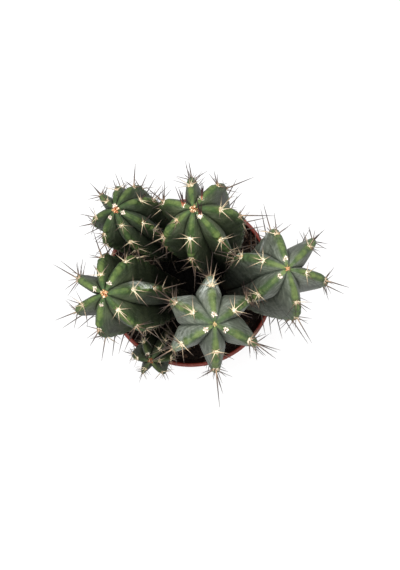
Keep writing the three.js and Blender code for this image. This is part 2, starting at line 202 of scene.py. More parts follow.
# Wool and spines. Ages are in pitches, which count areoles down from the tip.
PAD_HEIGHT = 0.6  # in pad radii
PAD_HAIRS = 26  # on each areole
PAD_HAIR_LENGTH = 1.3
BUD_AGE = 0.42  # a younger areole has buds for spines
BUDS = 10
BUD_TILTS = ((60, 85), (5, 50), (5, 50))  # in degrees from the skin, for each bud in three
COMB_SPINES = 5
COMB_LENGTH = (0.42, 0.78)  # in lengths of the stem's own spine
RADIALS = (5, 8)  # how many spines stand round an areole, up to but without the second
OLD_RADIALS = (2, 5)
RADIAL_TILT = (14, 36)  # in degrees from the skin
RADIAL_SPINE = (4, 0.4)  # length, and what is added for each unit of the stem's own spine
RADIAL_RADIUS = 0.27  # of a short spine
CENTRAL_RADIUS = 0.41  # of a long one
LONG_SPINE = (0.85, 1.1, 1.2)  # thickness of a long spine that is young or old, and the age between
OLD_AGE = 3  # from here on the spines round an areole are fewer and shorter
WORN_AGE = 3.2  # from here on many areoles have lost their spines
WORN_SHARE = (0.2, 0.75)  # how many still have them, between the stems and outside
SPINE_STEPS = np.array([-0.12, 0, 0.06, 0.2, 0.4, 0.62, 0.82, 1.0])  # in lengths of the spine
SPINE_SIDES = 6
SPINE_TAPER = (0.82, 1.9)  # how much of the radius is lost at the tip, and the curve of the loss
SPINE_FOOT = (0.45, 0.07)  # how much thicker the foot is, and how far it reaches
BUD_RADII = 0.21 * np.array([0.8, 0.9, 0.95, 1, 1.05, 1.1, 0.95, 0.45])  # in pad radii
OUTER_SPINE_SHADE = (45, 85)  # painted shade: from the first to the second distance from the axis, spines get darker, as outer spines look against the bright floor


def unit(vectors):
    return vectors / np.maximum(np.linalg.norm(vectors, axis=-1, keepdims=True), 1e-12)


def smooth_step(x):
    x = np.clip(x, 0, 1)
    return x * x * (3 - 2 * x)


def turns(count):
    return FULL_TURN * np.arange(count) / count


def around(first, second, angle):
    """The direction at an angle from the first of two directions towards the second."""
    angle = np.asarray(angle)[..., None]
    return first * np.cos(angle) + second * np.sin(angle)


def chance(*place):
    """A number from 0 to 1 that is always the same for the same place, as in the CAD part."""
    seed = 4.1 + sum(value * (12.9898 + 65.234 * index) for index, value in enumerate(place))
    value = math.sin(seed) * 43758.5453
    return value - math.floor(value)


class Stem:
    """One stem's shape: places on it are given as a length down from its tip and a bearing."""

    def __init__(self, index, facts):
        self.ribs = len(facts["bearing"])
        unsaid = dict(
            lean=(0,) * self.ribs, reach=(1,) * self.ribs, bloom=(), long=(), fresh=0, comb=None,
        )
        self.__dict__.update(unsaid, index=index, **facts)
        self.tip = np.array(self.apex, float)
        self.foot = np.array([*self.base, SOIL_LEVEL], float)
        self.middle = (self.tip + self.foot) / 2 + np.array([*self.bend, 0])
        self.length = float(np.linalg.norm(self.tip - self.foot))
        self.dome = DOME * self.radius
        self.angles = np.radians(self.bearing)
        self.gaps = np.radians((np.roll(self.bearing, -1) - self.bearing) % 360)

    def frames(self, down):
        down = np.asarray(down, float)
        t = np.maximum(0.0, 1 - down / self.length)[..., None]
        centre = (1 - t) ** 2 * self.foot + 2 * t * (1 - t) * self.middle + t * t * self.tip
        up = unit(2 * (1 - t) * (self.middle - self.foot) + 2 * t * (self.tip - self.middle))
        across = unit(X_AXIS - up * up[..., :1])
        centre[..., 2] -= np.maximum(0.0, down - self.length)
        return centre, up, across, np.cross(up, across)

    def below_dome(self, down):
        return np.clip((down - self.dome) / (self.length - self.dome), 0, 1)

    def crest(self, down):
        x = np.clip(down / self.dome, 0, 1)
        domed = self.radius * np.sqrt(np.maximum(0, 1 - (1 - x) ** 2))
        rooted = np.clip((down - self.length) / ROOT_DEPTH, 0, 1)
        taper = 1 - BASE_TAPER * self.below_dome(down) ** TAPER_CURVE
        return domed * taper * np.sqrt(1 - rooted ** 2)

    def rib(self, rib, down):
        pressed = 1 - (1 - self.reach[rib]) * np.minimum(down / self.dome, 1)
        return self.crest(down) * pressed

    def valley_turn(self, rib, down):
        """How far round from a rib the valley after it is."""
        grown = smooth_step(self.crest(down) / (LEAN_GROWN * self.radius))
        return self.gaps[rib] * (0.5 + self.lean[rib] * grown)

    def valley_radius(self, rib, down):
        depth = self.valley[rib] * (1 + (OLD_RIB - 1) * self.below_dome(down))
        following = self.rib((rib + 1) % self.ribs, down)
        return 0.5 * (self.rib(rib, down) + following) * (1 - depth)

    def pitches(self, down):
        """The areole count at a place, which is down = pitch * p * p / (p + 1) turned round."""
        return (down + np.sqrt(down ** 2 + 4 * self.pitch * down)) / (2 * self.pitch)

    def near(self, points, space):
        """Which points lie in the stem, or closer to it than a space."""
        down = self.length * (1 - (points[:, 2] - SOIL_LEVEL) / (self.tip[2] - SOIL_LEVEL))
        at = np.clip(down, 0.5, self.length + 0.6 * ROOT_DEPTH)
        centre, _, across, along = self.frames(at)
        x, y = (np.sum((points - centre) * axis, axis=1) for axis in (across, along))
        turned = np.arctan2(y, x)
        reach = np.zeros(len(points))
        for rib in range(self.ribs):
            turn = (turned - self.angles[rib]) % FULL_TURN
            middle = self.valley_turn(rib, at)
            before = turn < middle
            share = np.where(before, 1 - turn / middle, (turn - middle) / (self.gaps[rib] - middle))
            owner = np.where(before, self.rib(rib, at), self.rib((rib + 1) % self.ribs, at))
            valley = self.valley_radius(rib, at)
            reach = np.where(turn <= self.gaps[rib], valley + (owner - valley) * share, reach)
        return (np.hypot(x, y) < reach + space) & (down > -space)


def in_stems(points, stems, space):
    return np.any([stem.near(points, space) for stem in stems], axis=0)


# ---- Meshes ----

class Heap:
    """Points, faces and values of many small forms that become one piece."""

    def __init__(self):
        self.points, self.faces, self.values, self.count = [], [], {}, 0

    def add(self, points, faces, **values):
        """Values are given for each point, for each of several equal forms, or once for all."""
        for form in faces:
            self.faces.extend((np.asarray(form) + self.count).tolist())
        self.points.append(points)
        for key, numbers in values.items():
            each = len(points) // np.size(numbers)
            self.values.setdefault(key, []).append(np.repeat(numbers, each))
        self.count += len(points)
        return self

    def mesh(self, name):
        made = bpy.data.meshes.new(name)
        made.from_pydata((np.concatenate(self.points) * MM).tolist(), [], self.faces)
        for key, parts in self.values.items():
            attribute = made.attributes.new(key, "FLOAT", "POINT")
            attribute.data.foreach_set("value", np.concatenate(parts).astype(np.float32))
        made.shade_smooth()
        return made


def put(name, data):
    """A new object in the scene."""
    made = bpy.data.objects.new(name, data)
    bpy.context.scene.collection.objects.link(made)
    return made


def add_piece(name, form, node, material):
    mesh = form.mesh(name) if isinstance(form, Heap) else form
    mesh.materials.clear()
    mesh.materials.append(material)
    piece = put(name, mesh)
    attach(piece, "root")
    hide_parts(node)


def tubes(paths, radii, sides):
    """Closed tubes round paths of shape (count, steps, 3), with their faces."""
    count, steps, _ = paths.shape
    tangent = unit(np.gradient(paths, axis=1))
    upright = np.abs(tangent[:, :1, 2:3]) > 0.8
    across = unit(np.cross(tangent, np.where(upright, X_AXIS, Z_AXIS)))
    ring = around(across[:, :, None], np.cross(tangent, across)[:, :, None], turns(sides))
    points = (paths[:, :, None] + radii[:, :, None, None] * ring).reshape(-1, 3)
    ids = np.arange(count * steps * sides).reshape(count, steps, sides)
    after = np.roll(ids, -1, axis=2)
    quads = np.stack([ids[:, :-1], after[:, :-1], after[:, 1:], ids[:, 1:]], axis=-1)
    return points, [quads.reshape(-1, 4), ids[:, 0, ::-1], ids[:, -1]]


def hairs(root, aim, curl, length, steps, radii, sides):
    """Many short curved tubes that share their steps and radii."""
    steps = np.reshape(steps, (-1, 1))
    run = np.reshape(length, (-1, 1, 1)) * steps
    paths = root[:, None] + aim[:, None] * run + curl[:, None] * run * steps
    return tubes(paths, np.broadcast_to(radii, paths.shape[:2]), sides)


def lumps(centres, axes, sizes, roughness, rng, subdivisions=2):
    """Uneven balls: axes (count, 3, 3) hold three directions each, and sizes their three radii."""
    form = bmesh.new()
    bmesh.ops.create_icosphere(form, subdivisions=subdivisions, radius=1)
    directions = np.array([vertex.co[:] for vertex in form.verts])
    faces = np.array([[vertex.index for vertex in face.verts] for face in form.faces])
    form.free()
    count = len(centres)
    uneven = 1 + roughness * rng.standard_normal((count, len(directions)))
    local = directions[None] * uneven[..., None] * sizes[:, None, :]
    points = centres[:, None] + np.einsum("nvk,nkc->nvc", local, axes)
    ids = faces[None] + (np.arange(count) * len(directions))[:, None, None]
    return points.reshape(-1, 3), [ids.reshape(-1, 3)]


def rings(radii, heights, segments):
    """Level rings round the Z axis, as points of shape (rings, segments, 3)."""
    circle = around(X_AXIS, Y_AXIS, turns(segments))
    return np.reshape(radii, (-1, 1, 1)) * circle + np.reshape(heights, (-1, 1, 1)) * Z_AXIS


def loft(grid, first, last, turn=1, **painted):
    """A closed form through rings of points, from one end point to another.

    A turn of -1 flips its faces. What is painted on it has a value for each point of the rings."""
    rows, columns, _ = grid.shape
    ids = 1 + np.arange(rows * columns).reshape(rows, columns)
    after = np.roll(ids, -1, axis=1)
    quads = np.stack([ids[:-1], ids[1:], after[1:], after[:-1]], axis=-1).reshape(-1, 4)
    top = np.stack([0 * ids[0], ids[0], after[0]], axis=-1)
    bottom = np.stack([ids[-1], 0 * ids[0] + 1 + ids.size, after[-1]], axis=-1)
    values = {
        key: np.concatenate([part[0, :1], part.ravel(), part[-1, :1]])
        for key, part in painted.items()
    }
    points = np.concatenate([[first], grid.reshape(-1, 3), [last]])
    return Heap().add(points, [form[:, ::turn] for form in (quads, top, bottom)], **values)


def cut(mesh, cutters):
    """The mesh with other closed meshes taken out of it."""
    body = put("cut_body", mesh)
    tools = [put(f"cut_tool_{index}", cutter) for index, cutter in enumerate(cutters)]
    for index, tool in enumerate(tools):
        step = body.modifiers.new(f"cut_{index}", "BOOLEAN")
        step.operation, step.solver, step.object = "DIFFERENCE", "EXACT", tool
    bpy.context.view_layer.update()
    graph = bpy.context.evaluated_depsgraph_get()
    made = bpy.data.meshes.new_from_object(body.evaluated_get(graph))
    for spare in [body, *tools]:
        bpy.data.objects.remove(spare)
    made.shade_smooth()
    return made


# ---- Skins ----

def skin_rows(stem):
    dome = stem.dome * (1 - np.cos(np.arange(1, DOME_ROWS) * math.pi / (2 * DOME_ROWS)))
    steps = round((stem.length - stem.dome) / SHAFT_STEP)
    shaft = np.linspace(stem.dome, stem.length, steps + 1)
    return np.concatenate([dome, shaft, stem.length + ROOT_ROWS])


def flank(stem, rib, turn, down, widen):
    """The columns from a rib's crest to the valley on its left (turn 1) or right (turn -1).

    A column is (x, y, way to the crest, way to the valley, rib, turn), at each place down."""
    gap = rib if turn > 0 else (rib - 1) % stem.ribs
    half = stem.valley_turn(gap, down)
    if turn < 0:
        half = stem.gaps[gap] - half
    crest = stem.rib(rib, down)
    edge = np.minimum(CREST_HALF_WIDTH * stem.radius, THIN_CREST * crest + 0.2)
    drop = np.minimum(SHOULDER_DROP * stem.radius, THIN_CREST * crest)
    phase = stem.pitches(down) - stem.first[rib]
    mark = (0.5 + 0.5 * np.cos(FULL_TURN * phase)) ** 4 * (phase > -0.5)
    mark = mark * np.clip(crest / NOTCH_GROWN, 0, 1)
    valley = stem.valley_radius(gap, down)
    run_x, run_y = valley * np.sin(half) - edge, valley * np.cos(half) - (crest - drop)
    run = np.hypot(run_x, run_y)
    bulge = (FLANK_BULGE + SWELLING * (1 - mark)) * run
    wave = sum(
        height * np.sin(FULL_TURN * down / width + (1.7 + width) * (rib + stem.index))
        for width, height in WAVES
    ) * np.clip(crest / 15 - 0.3, 0, 1)
    cos, sin = math.cos(stem.angles[rib]), math.sin(stem.angles[rib])
    for place in FLANK_PLACES:
        if place < CREST_SHARE:
            share = place / CREST_SHARE
            x, y = edge * share, crest - drop * share ** 2
            to_crest, to_valley = edge * share, run + edge * (1 - share)
            flat = 1.0
        else:
            share = (place - CREST_SHARE) / (1 - CREST_SHARE)
            line = np.abs(((phase + FOLD_SLANT * share) * 2) % 1 - 0.5) * 2
            fold = FOLD * smooth_step((line - FOLD_START) / (1 - FOLD_START))
            out = bulge * 4 * share * (1 - share) - fold * math.sin(math.pi * share)
            x = edge + run_x * share + out * -run_y / run
            y = crest - drop + run_y * share + out * run_x / run
            to_crest, to_valley = edge + run * share, run * (1 - share)
            flat = (1 - share) ** 3
        y = y + (wave - NOTCH * mark) * flat
        deep = CREASE * np.exp(-(to_valley / CREASE_WIDTH) ** 2) * np.clip(crest / CREASE_GROWN, 0, 1)
        x, y = x - deep * np.sin(half), y - deep * np.cos(half)
        scale = 1 + widen / np.maximum(np.hypot(x, y), 1)
        x, y = x * scale * turn, y * scale
        yield y * cos - x * sin, y * sin + x * cos, to_crest, to_valley, rib, turn


def skin_columns(stem, down, widen):
    """All columns round a stem: from each crest down its left flank and up to the next crest."""
    for rib in range(stem.ribs):
        yield from flank(stem, rib, 1, down, widen)
        _, *rising = flank(stem, (rib + 1) % stem.ribs, -1, down, widen)
        deep = CREASE_BOTTOM * CREASE * np.clip(stem.crest(down) / CREASE_GROWN, 0, 1)
        radius = stem.valley_radius(rib, down) - deep + widen
        valley = stem.angles[rib] + stem.valley_turn(rib, down)
        _, _, to_crest, to_valley, _, _ = rising[-1]
        yield radius * np.cos(valley), radius * np.sin(valley), to_crest + to_valley, 0, rib, -1
        yield from reversed(rising)


def skin_heap(stem, rows, widen=0.0):
    x, y, to_crest, to_valley, rib, turn = (
        np.stack([value + 0 * rows for value in values], axis=1)
        for values in zip(*skin_columns(stem, rows, widen))
    )
    down, size = rows[:, None] + 0 * x, stem.crest(rows)[:, None] + 0 * x
    bloom = sum(
        strength * np.exp(-((down - place) / spread) ** 2) * (rib == on_rib) * (turn == side)
        for on_rib, side, place, spread, strength in stem.bloom
    ) * smooth_step(to_valley / 5)
    centre, up, across, along = (part[:, None] for part in stem.frames(rows))
    dip = TIP_DIMPLE * np.exp(-(size / TIP_DIMPLE_WIDTH) ** 2)
    return loft(
        centre - up * dip[..., None] + across * x[..., None] + along * y[..., None],
        stem.tip - up[0, 0] * TIP_DIMPLE, stem.frames(stem.length + ROOT_DEPTH)[0],
        to_crest=to_crest, to_valley=to_valley, down=down, size=size, rib=rib, bloom=bloom,
    )


# ---- Areoles ----

class Areole:
    """One areole's place and directions, with its age in pitches."""

    def __init__(self, stem, rib, count):
        self.place = (stem.index, rib, count)
        self.age = stem.first[rib] + count
        down = stem.pitch * self.age ** 2 / (self.age + 1)
        centre, up, across, along = stem.frames(down)
        out = around(across, along, stem.angles[rib])
        slope = stem.crest(down + 0.5) - stem.crest(max(0, down - 0.5))
        radius = stem.rib(rib, down)
        self.normal = unit(out + up * slope)
        self.side = unit(np.cross(up, out))
        self.uphill = unit(np.cross(self.normal, self.side))
        self.root = centre + out * radius
        self.seat = self.root - self.normal * NOTCH * min(1, radius / NOTCH_GROWN)

    def chance(self, part):
        return chance(*self.place, part)


def areoles(stem):
    lowest = stem.pitches(stem.length - LOWEST_AREOLE)
    return [
        Areole(stem, rib, count) for rib in range(stem.ribs)
        for count in range(math.floor(lowest - stem.first[rib]) + 1)
    ]


def comb_spines(stem, areole, rng):
    """The spines of a young areole that are grown out and all lean one way."""
    for _ in range(COMB_SPINES):
        aim = unit(0.6 * areole.normal + np.array(stem.comb) + rng.normal(0, 0.2, 3))
        length = stem.spine * rng.uniform(*COMB_LENGTH)
        spread = unit(rng.normal(0, 1, 3) - 0.5 * areole.normal)
        yield areole.seat + 0.45 * stem.pad * spread, aim, length, 0.95 * CENTRAL_RADIUS, areole.age


def radial_spines(stem, areole, thickness, rng):
    """The short spines round an areole, or the buds of a young one."""
    old, budding = areole.age >= OLD_AGE, areole.age <= BUD_AGE
    number = rng.integers(*(OLD_RADIALS if old else RADIALS))
    if budding:
        number = BUDS
    start = rng.uniform(0, FULL_TURN)
    for index in range(number):
        angle = start + FULL_TURN * index / number + rng.normal(0, 0.16)
        tilt = rng.uniform(*RADIAL_TILT)
        flat = around(areole.side, areole.uphill, angle)
        length = RADIAL_SPINE[0] + RADIAL_SPINE[1] * stem.spine
        length *= (1 - 0.4 * max(0, math.sin(angle)) ** 2) * rng.uniform(0.76, 1.06)
        length *= (0.75 if old else 1) * min(1, 0.35 + 0.9 * areole.age)
        if budding:
            tilt = rng.uniform(*BUD_TILTS[index % 3])
            length = stem.pad * rng.uniform(0.65, 1.15)
        aim = unit(around(flat, areole.normal, math.radians(tilt)))
        root = areole.seat + areole.normal * 0.35 + flat * 0.5
        yield root, aim, length, RADIAL_RADIUS * thickness, areole.age


def spine_list(stem, rng):
    """Every spine of a stem, as (root, direction, length, radius, age)."""
    spines = []
    young, old, between = LONG_SPINE
    for areole in areoles(stem):
        age, seat = areole.age, areole.seat
        grown = min(max(0.25 + 0.5 * age, 0.3), 1)
        thickness = (0.75 + 0.25 * grown) * math.sqrt(stem.spine / 20)
        sideways, upward = 2 * areole.chance(1) - 1, 2 * areole.chance(2) - 1
        aim = unit(areole.normal + areole.side * 0.35 * sideways + areole.uphill * 0.4 * upward)
        length = stem.spine * grown * (0.8 + 0.25 * areole.chance(3))
        seen = [np.array(long[2:]) - seat for long in stem.long if long[:2] == areole.place[1:]]
        if seen:
            aim, length = unit(seen[0]), np.linalg.norm(seen[0])
            thickness = old if age > between else young
        for run in seen[1:]:
            spines.append((seat, unit(run), np.linalg.norm(run), CENTRAL_RADIUS * young, age))
        outside = np.dot(areole.root[:2], areole.normal[:2]) >= 0
        if age > WORN_AGE and areole.chance(7) > WORN_SHARE[int(outside)]:
            continue
        if age <= BUD_AGE and stem.comb:
            spines.extend(comb_spines(stem, areole, rng))
            continue
        if age > BUD_AGE:
            spines.append((seat, aim, length, CENTRAL_RADIUS * thickness, age))
        spines.extend(radial_spines(stem, areole, thickness, rng))
    return spines


def is_clear(path, stem, stems):
    """Whether a spine keeps off the soil, the pot's wall and the other stems."""
    if np.any(path[:, 2] < SOIL_LEVEL + SPINE_OVER_SOIL):
        return False
    low = path[:, 2] < POT_HEIGHT + SPINE_CLEAR
    wide = np.hypot(path[:, 0], path[:, 1]) > inner_radius(SOIL_LEVEL) - SPINE_CLEAR
    others = [other for other in stems if other is not stem]
    return not np.any(low & wide) and not np.any(in_stems(path, others, SPINE_CLEAR))


def share_in_box(root, tip):
    """How much of a spine fits in the CAD model's box."""
    share = 1.0
    for axis in range(3):
        low, high = (corner[axis] / MM for corner in CAD_BOX)
        run = tip[axis] - root[axis]
        if run:
            wall = high - BOX_MARGIN if run > 0 else low + BOX_MARGIN
            share = min(share, (wall - root[axis]) / run)
    return share


def spine_heap(stem, stems, rng):
    shares = np.clip(SPINE_STEPS, 0, 1)
    shape = 1 - SPINE_TAPER[0] * shares ** SPINE_TAPER[1]
    shape = shape * (1 + SPINE_FOOT[0] * np.exp(-(SPINE_STEPS / SPINE_FOOT[1]) ** 2))
    made = []
    for root, aim, length, radius, age in spine_list(stem, rng):
        sag = unit(np.cross(aim, rng.standard_normal(3))) * rng.uniform(0, 0.035)
        for shortened in SPINE_CUTS:
            size = length * shortened
            places = SPINE_STEPS[:, None] * size
            path = root + aim * places + sag * places * np.abs(places) / size
            share = share_in_box(root, path[-1])
            if share < 1:
                path = root + (path - root) * max(share, 0.2)
            if is_clear(path[2:], stem, stems):
                break
        else:
            continue
        bud = age <= BUD_AGE and not stem.comb
        # painted shade: spines far from the axis, seen against the bright floor, get a darker tone; the
        # rest of the tone is random
        near, far = OUTER_SPINE_SHADE
        outer_shade_mask = np.clip((math.hypot(*path[-1][:2]) - near) / (far - near), 0, 1)
        tone = np.clip(rng.uniform() + 0.22 - 0.62 * outer_shade_mask, 0, 1)
        thick = stem.pad * BUD_RADII if bud else radius * shape
        made.append((path, thick, age, tone, float(radius > RADIAL_RADIUS)))
    paths, radii, ages, tones, central = map(np.array, zip(*made))
    reach = np.tile(np.repeat(shares, SPINE_SIDES), len(made))
    form = tubes(paths, radii, SPINE_SIDES)
    return Heap().add(*form, reach=reach, age=ages, tone=tones, central=central)


def wool_heap(stem, rng):
    """A lump of wool on each areole, with hairs that stand out of it."""
    places = areoles(stem)
    count = len(places)
    seats = np.array([place.seat for place in places])
    axes = np.array([(place.side, place.uphill, place.normal) for place in places])
    ages = np.array([place.age for place in places])
    size = stem.pad * np.where(ages < BUD_AGE, 0.9 if stem.comb else 0.7, 1.0)
    size = size[:, None] * rng.uniform(0.88, 1.1, (count, 1))
    form = lumps(seats, axes, size * np.array([1.0, 1.12, PAD_HEIGHT]), 0.1, rng)
    heap = Heap().add(*form, age=ages, tone=rng.uniform(size=count))
    owner = np.repeat(np.arange(count), PAD_HAIRS)
    count = len(owner)
    side, uphill, normal = (axes[owner, part] for part in range(3))
    out = around(side, uphill, rng.uniform(0, FULL_TURN, count))
    spread = np.sqrt(rng.uniform(0, 1, (count, 1))) * 0.95
    rise = PAD_HEIGHT * np.sqrt(1 - 0.9 * spread ** 2) - 0.1
    root = seats[owner] + (out * spread + normal * rise) * size[owner]
    aim = unit(normal * rng.uniform(0.25, 1, (count, 1)) + out * spread)
    curl = 0.5 * unit(np.cross(aim, rng.standard_normal((count, 3))))
    length = PAD_HAIR_LENGTH * rng.uniform(0.5, 1.1, count)
    form = hairs(root, aim, curl, length, (0, 0.4, 0.75, 1), (0.13, 0.12, 0.09, 0.03), 3)
    return heap.add(*form, age=ages[owner], tone=rng.uniform(size=count))


def tuft_heap(stem, rng):
    """The wool on the growing tip: short coloured fibres, with cream lumps round them."""
    width = stem.tuft
    count = int(TUFT_FIBRES * width)
    up, across, along = (part[0] for part in stem.frames(np.zeros(1))[1:])
    tip = stem.tip - up * TIP_DIMPLE * 1.2
    flat = around(across, along, rng.uniform(0, FULL_TURN, count))
    flat = flat * np.sqrt(rng.uniform(0, 1, (count, 1)))
    aim = unit(up + 0.9 * flat + 0.25 * rng.standard_normal((count, 3)))
    length = rng.uniform(0.7, 1.15, count) * (1.4 + 0.55 * width)
    curl = 0.3 * unit(np.cross(aim, rng.standard_normal((count, 3))))
    steps, sides = np.array([0, 0.35, 0.7, 1]), 4
    form = hairs(tip + 0.8 * width * flat, aim, curl, length, steps, (0.26, 0.24, 0.17, 0.05), sides)
    reach = np.tile(np.repeat(steps, sides), count)
    heap = Heap().add(*form, reach=reach, tone=rng.uniform(size=count))
    count = round(TIP_LUMPS * width)
    flat = around(across, along, np.radians(rng.uniform(0, 360, count)))
    places = tip + flat * width * rng.uniform(0.6, 1.4, (count, 1)) + up * (0.5 + 0.4 * width)
    axes = np.broadcast_to((across, along, up), (count, 3, 3))
    sizes = width * rng.uniform(0.28, 0.45, (count, 1)) * np.array([1, 1, 1.2])
    return heap.add(*lumps(places, axes, sizes, 0.1, rng), reach=1.2, tone=rng.uniform(size=count))


# ---- Pot ----

POT_SEGMENTS = 240
POT_HEIGHT = 125
RIM_RADIUS = 70
RIM_ROLL = 1.6
COLLAR_RADIUS = 68.4
COLLAR_HEIGHT = 17
BODY_TOP_RADIUS = 66.2
FOOT_RADIUS = 50
FOOT_WIDTH = 9
WALL = 1.4
FLOOR = 2.6
FOOT_RECESS = 2
HUB_RADIUS = 15
DRAIN_HOLES = 6
DRAIN_RADIUS = 4
DRAIN_CIRCLE = 28
BODY_TOP = POT_HEIGHT - COLLAR_HEIGHT
FLOOR_TOP = FOOT_RECESS + FLOOR
CLEARANCE = 0.3
INSIDE_SLOPE = (BODY_TOP_RADIUS - FOOT_RADIUS) / BODY_TOP
SMOOTH_UP_TO = 38  # degrees between two faces


def inner_radius(height):
    return FOOT_RADIUS - WALL + INSIDE_SLOPE * height


def rounded(profile):
    """A profile of (radius, height, rounding) with its corners turned into small arcs."""
    made = []
    for index, (*corner, rounding) in enumerate(profile):
        corner = np.array(corner, float)
        if rounding == 0:
            made.append(corner)
            continue
        before = corner + unit(np.array(profile[index - 1][:2], float) - corner) * rounding
        after = corner + unit(np.array(profile[index + 1][:2], float) - corner) * rounding
        for t in np.linspace(0, 1, 5):
            made.append((1 - t) ** 2 * before + 2 * t * (1 - t) * corner + t * t * after)
    return made


def pot_profile():
    """The pot's section, from the middle of its underside up, over the rim and down inside."""
    bead = POT_HEIGHT - RIM_ROLL
    foot_inside = FOOT_RADIUS - FOOT_WIDTH
    outside = [
        (0, 0, 0), (HUB_RADIUS, 0, 0.5), (HUB_RADIUS + FOOT_RECESS, FOOT_RECESS, 0.5),
        (foot_inside - FOOT_RECESS, FOOT_RECESS, 0.5), (foot_inside, 0, 0.4), (FOOT_RADIUS, 0, 1.0),
    ]
    for height in np.linspace(4, BODY_TOP - 4, 24):
        outside.append((inner_radius(height) + WALL, height, 0))
    outside += [
        (BODY_TOP_RADIUS - 0.05, BODY_TOP, 0.6), (COLLAR_RADIUS - 0.4, BODY_TOP + 1.5, 0.6),
        (COLLAR_RADIUS - 0.2, BODY_TOP + 6, 0), (COLLAR_RADIUS, bead - RIM_ROLL, 0),
    ]
    roll = np.radians(np.linspace(-62, 242, 19))
    rim = around(np.array([RIM_ROLL, 0]), np.array([0, RIM_ROLL]), roll) + [RIM_RADIUS - RIM_ROLL, bead]
    inside = [(inner_radius(BODY_TOP) + 0.35, BODY_TOP + 3, 0), (inner_radius(BODY_TOP), BODY_TOP, 0.6)]
    for height in np.linspace(BODY_TOP - 6, FLOOR_TOP + 4, 14):
        inside.append((inner_radius(height), height, 0))
    inside += [(inner_radius(FLOOR_TOP), FLOOR_TOP, 1.2), (30, FLOOR_TOP, 0), (0, FLOOR_TOP, 0)]
    return np.array([*rounded(outside), *rim, *rounded(inside)])


def pot_mesh():
    (_, bottom), *ring, (_, top) = pot_profile()
    shell = loft(rings(*np.transpose(ring), POT_SEGMENTS), (0, 0, bottom), (0, 0, top), turn=-1)
    drains = []
    for angle in turns(DRAIN_HOLES) + math.pi / DRAIN_HOLES:
        place = Vector((DRAIN_CIRCLE * math.cos(angle), DRAIN_CIRCLE * math.sin(angle), FLOOR_TOP))
        form = bmesh.new()
        bmesh.ops.create_cone(
            form, cap_ends=True, segments=40, radius1=DRAIN_RADIUS * MM, radius2=DRAIN_RADIUS * MM,
            depth=4 * FLOOR_TOP * MM, matrix=Matrix.Translation(place * MM),
        )
        drains.append(bpy.data.meshes.new("drain"))
        form.to_mesh(drains[-1])
        form.free()
    made = cut(shell.mesh("pot_shell"), drains)
    made.set_sharp_from_angle(angle=math.radians(SMOOTH_UP_TO))
    return made


# ---- Soil ----

SOIL_RELIEF = 1.1
SOIL_GRAINS = ((1, 5.2, 1.0), (2, 2.6, 0.7), (3, 1.3, 0.45))  # seed, grain and height
SOIL_RINGS = 88
SOIL_SEGMENTS = 264
HOLE_SPACE = 0.25
CRUMBS = ((2080, 0.35, 1.0, 1), (520, 1.0, 2.3, 2))  # number, smallest, largest, fineness
FIBRES = 240
FIBRE_SHAPE = np.array([0.5, 0.8, 1, 1, 0.95, 0.9, 0.8, 0.6, 0.3])
FIBRE_LENGTH = (4, 19)
FIBRE_RADIUS = (0.12, 0.36)
MOUND = (52, 37.5, 7, 11)  # bark heaped by the rim: its place, its spread and its height
MOUND_CHIPS = 420
CHIP_RADIUS = (0.8, 2.2)
SOIL_EDGE = 2  # a crumb's middle and a fibre keep at least this far from the pot's wall


def lattice(rng, x, y, scale):
    """Smooth random relief from -1 to 1 with a given grain."""
    size = 64
    grid = rng.uniform(-1, 1, (size, size))
    u, v = (x / scale) % size, (y / scale) % size
    i, j = np.floor(u).astype(int), np.floor(v).astype(int)
    s, t = smooth_step(u - i), smooth_step(v - j)
    i2, j2 = (i + 1) % size, (j + 1) % size
    low = grid[i % size, j % size] * (1 - s) + grid[i2, j % size] * s
    high = grid[i % size, j2] * (1 - s) + grid[i2, j2] * s
    return low * (1 - t) + high * t


def soil_height(x, y):
    relief = np.sin(x / 7 + 1) * np.cos(y / 8) + np.sin((x + 2 * y) / 11) * np.cos(x / 5)
    made = SOIL_LEVEL + SOIL_RELIEF * relief
    for seed, grain, height in SOIL_GRAINS:
        made = made + height * lattice(np.random.default_rng(seed), x + 200, y + 200, grain)
    return made


def soil_mesh(stems):
    widest = inner_radius(SOIL_LEVEL) - CLEARANCE
    spread = np.linspace(0, 1, SOIL_RINGS + 1)[1:] ** 0.8
    top = rings(widest * spread, 0, SOIL_SEGMENTS)
    top[..., 2] = soil_height(top[..., 0], top[..., 1])
    heights = np.linspace(SOIL_LEVEL - 6, FLOOR_TOP + CLEARANCE, 12)
    sides = rings(inner_radius(heights) - CLEARANCE, heights, SOIL_SEGMENTS)
    middle = soil_height(np.zeros(1), np.zeros(1))[0]
    body = loft(np.concatenate([top, sides]), (0, 0, middle), (0, 0, heights[-1]))
    holes = []
    for stem in stems:
        rows = stem.length + np.array([-8, -4, 0, *ROOT_ROWS])
        holes.append(skin_heap(stem, rows, HOLE_SPACE).mesh(f"hole_{stem.index}"))
    return cut(body.mesh("soil_body"), holes)


def free_places(stems, count, rng, space):
    """Places on the soil that no stem stands on."""
    radius = (inner_radius(SOIL_LEVEL) - SOIL_EDGE - 0.5) * np.sqrt(rng.uniform(0, 1, count))
    angle = rng.uniform(0, FULL_TURN, count)
    x, y = radius * np.cos(angle), radius * np.sin(angle)
    points = np.stack([x, y, soil_height(x, y)], axis=1)
    return points[~in_stems(points, stems, space)]


def crumb_heap(stems, rng):
    heap = Heap()
    for number, small, large, subdivisions in CRUMBS:
        places = free_places(stems, number, rng, large * 0.6)
        count = len(places)
        axes = rng.standard_normal((count, 3, 3))
        axes[:, 0] = unit(axes[:, 0])
        axes[:, 1] = unit(np.cross(axes[:, 0], axes[:, 1]))
        axes[:, 2] = np.cross(axes[:, 0], axes[:, 1])
        sizes = rng.uniform(small, large, (count, 1)) * rng.uniform(0.6, 1.2, (count, 3))
        form = lumps(places, axes, sizes, 0.13, rng, subdivisions)
        heap.add(*form, tone=rng.uniform(size=count))
    return heap


